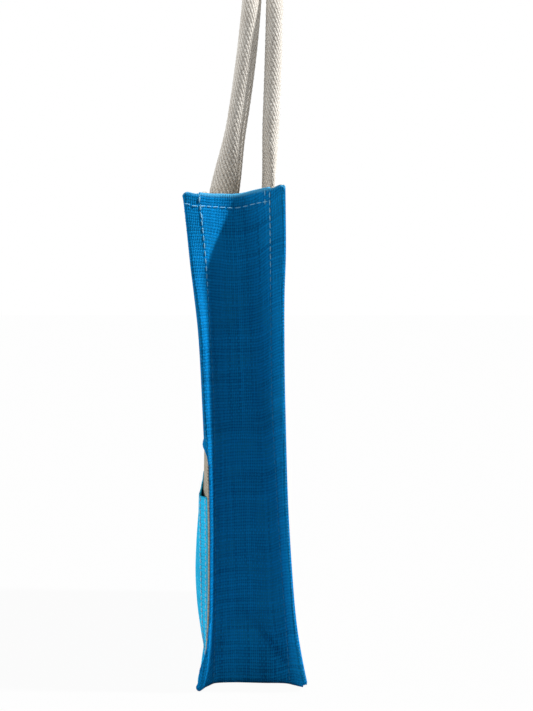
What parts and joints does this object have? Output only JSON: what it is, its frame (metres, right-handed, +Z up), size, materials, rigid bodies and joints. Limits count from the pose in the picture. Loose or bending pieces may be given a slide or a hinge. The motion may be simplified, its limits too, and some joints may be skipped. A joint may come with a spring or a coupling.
{
  "type": "jute tote bag",
  "caption": "Upright woven jute tote bag with side gussets, a patch pocket low on the front and padded loop handles, for carrying shopping.",
  "frame": {"origin": "centre of the bounding box at floor level, under the standing bag", "axes": "+Z up, +X along the bag's width toward the end that the picture shows, -Y toward the front face with the pocket"},
  "size_m": [0.372, 0.0892, 0.5765],
  "materials": {
    "panel_cloth": "natural undyed jute, matt",
    "gusset_cloth": "blue dyed open-weave jute, matt",
    "pocket_cloth": "bright blue dyed jute, matt",
    "handle_tape": "cream cotton twill tape, matt"
  },
  "bodies": {
    "root": {"front_panel": "panel_cloth", "back_panel": "panel_cloth", "gusset_band": "gusset_cloth", "pocket": "pocket_cloth", "front_handle": "handle_tape", "back_handle": "handle_tape"}
  },
  "joints": []
}
